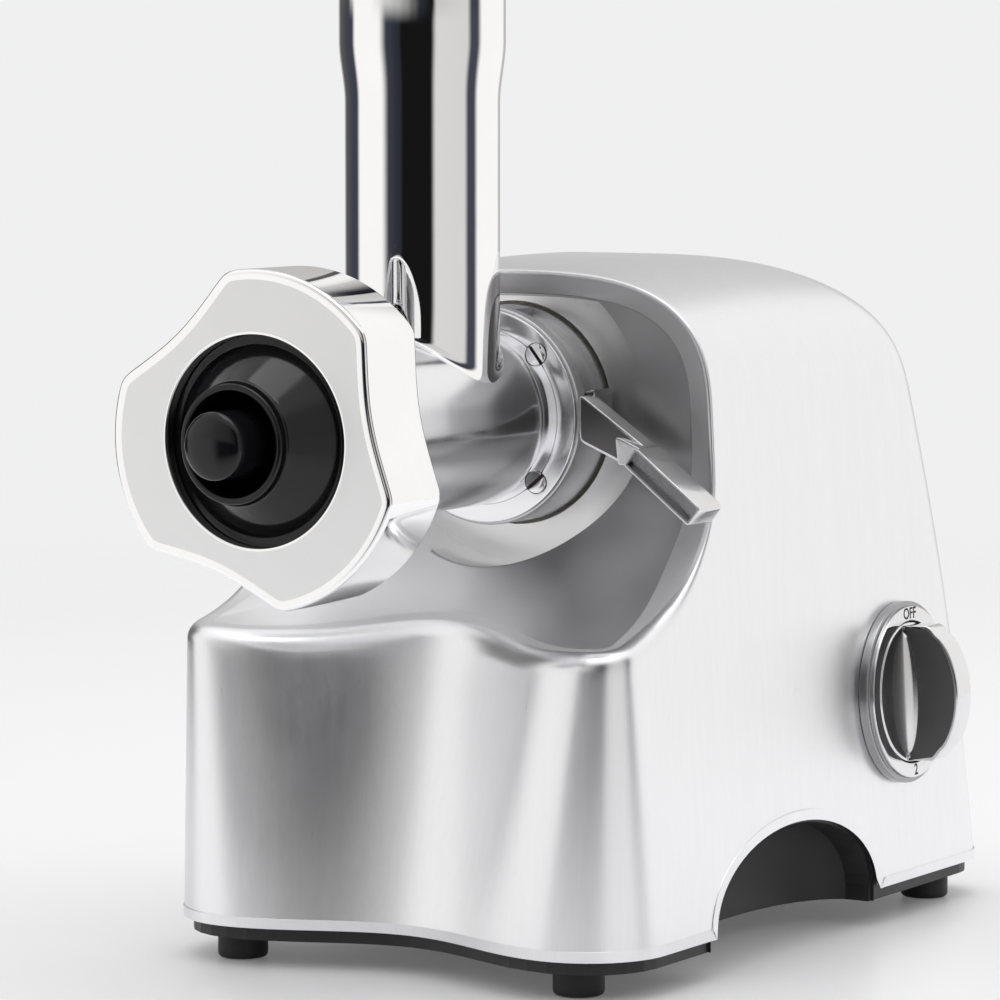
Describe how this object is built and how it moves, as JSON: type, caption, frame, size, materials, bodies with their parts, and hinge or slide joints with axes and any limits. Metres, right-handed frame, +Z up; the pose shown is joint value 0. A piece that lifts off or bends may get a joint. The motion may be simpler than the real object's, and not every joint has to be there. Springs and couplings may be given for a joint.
{
  "type": "electric meat grinder",
  "caption": "Electric meat grinder: stainless hood with a scooped front, upright feed tube with tray and pusher, lobed nut with a kubbe attachment, release lever and side switch.",
  "frame": {"origin": "on the table, right below the crossing of the feed tube's axis and the barrel's axis", "axes": "+Z up, -Y towards the outlet, +X towards the switch"},
  "size_m": [0.21, 0.335, 0.33],
  "materials": {
    "satin_steel": "satin brushed sheet",
    "polished_alloy": "polished casting",
    "bright_chrome": "bright plated",
    "ring_metal": "dark machined ring",
    "plain_steel": "machined",
    "gloss_black": "glossy moulded",
    "matte_black": "fine-grained moulded",
    "natural_nylon": "moulded",
    "black_rubber": "soft moulded",
    "bronze": "sintered",
    "copper_wire": "lacquered winding",
    "lamination": "stacked laminations",
    "carbon": "pressed carbon",
    "board_green": "solder resist"
  },
  "bodies": {
    "housing": {"hood": "satin_steel", "base_pan": "matte_black", "feet": "black_rubber", "socket_ring": "ring_metal", "gearbox_case": "natural_nylon", "gearbox_cover": "natural_nylon", "cover_screws": "bright_chrome", "chassis_screws": "bright_chrome", "output_bushes": "bronze", "idler_bushes": "bronze", "motor_bearings": "plain_steel", "stator": "lamination", "field_coils": "copper_wire", "motor_end_bracket": "polished_alloy", "motor_bolts": "bright_chrome", "brush_holders": "bronze", "brushes": "carbon", "motor_mounts": "black_rubber", "switch_body": "matte_black", "bezel": "bright_chrome", "control_board": "board_green", "board_standoffs": "natural_nylon", "vent_panel": "matte_black", "cable_gland": "matte_black", "base_screws": "bright_chrome"},
    "drive": {"output_shaft": "plain_steel", "output_gear": "natural_nylon"},
    "idler": {"idler_gear": "natural_nylon", "idler_shaft": "plain_steel"},
    "rotor": {"rotor_shaft": "plain_steel", "rotor_core": "lamination", "rotor_winding": "copper_wire", "commutator": "copper_wire", "fan": "matte_black"},
    "head": {"head_casting": "polished_alloy", "bayonet_ring": "polished_alloy", "ring_screws": "bright_chrome"},
    "auger": {"auger": "polished_alloy", "auger_coupler": "gloss_black", "auger_pin": "plain_steel"},
    "attachment": {"kubbe_shaper": "gloss_black", "kubbe_cone": "gloss_black"},
    "nut": {"nut": "polished_alloy"},
    "lever": {"lock_ring": "plain_steel", "release_lever": "bright_chrome"},
    "switch_knob": {"knob": "bright_chrome"},
    "tray": {"hopper_tray": "polished_alloy"},
    "pusher": {"pusher": "matte_black"}
  },
  "joints": [
    {"name": "drive_spin", "type": "hinge", "parent": "housing", "child": "drive", "pos_m": [0, 0, 0.1637], "axis": [0, 1, 0], "continuous": true},
    {"name": "idler_spin", "type": "hinge", "parent": "housing", "child": "idler", "pos_m": [0.01219, 0, 0.12757], "axis": [0, 1, 0], "continuous": true},
    {"name": "rotor_spin", "type": "hinge", "parent": "housing", "child": "rotor", "pos_m": [0, 0, 0.0937], "axis": [0, 1, 0], "continuous": true},
    {"name": "head_pull", "type": "slide", "parent": "housing", "child": "head", "axis": [0, -1, 0], "range_m": [0, 0.03]},
    {"name": "auger_spin", "type": "hinge", "parent": "head", "child": "auger", "pos_m": [0, 0, 0.1637], "axis": [0, 1, 0], "continuous": true},
    {"name": "attachment_travel", "type": "slide", "parent": "head", "child": "attachment", "axis": [0, -1, 0], "range_m": [0, 0.009]},
    {"name": "nut_turn", "type": "hinge", "parent": "attachment", "child": "nut", "pos_m": [0, 0, 0.1637], "axis": [0, -1, 0], "range_deg": [0, 1080]},
    {"name": "lever_turn", "type": "hinge", "parent": "housing", "child": "lever", "pos_m": [0, 0, 0.1637], "axis": [0, -1, 0], "range_deg": [0, 60]},
    {"name": "knob_turn", "type": "hinge", "parent": "housing", "child": "switch_knob", "pos_m": [0.07877, 0.1573, 0.0719], "axis": [0.9985, 0, 0.0549], "range_deg": [-180, 60]},
    {"name": "tray_lift", "type": "slide", "parent": "head", "child": "tray", "axis": [0, 0, 1], "range_m": [0, 0.03]},
    {"name": "pusher_stroke", "type": "slide", "parent": "tray", "child": "pusher", "axis": [0, 0, 1], "range_m": [0, 0.12]}
  ],
  "couplings": [
    {"joint": "idler_spin", "follows": "drive_spin", "ratio": -4.5455},
    {"joint": "rotor_spin", "follows": "drive_spin", "ratio": 36.364},
    {"joint": "auger_spin", "follows": "drive_spin", "ratio": 1},
    {"joint": "attachment_travel", "follows": "nut_turn", "m_per_rad": 0.00047746}
  ]
}
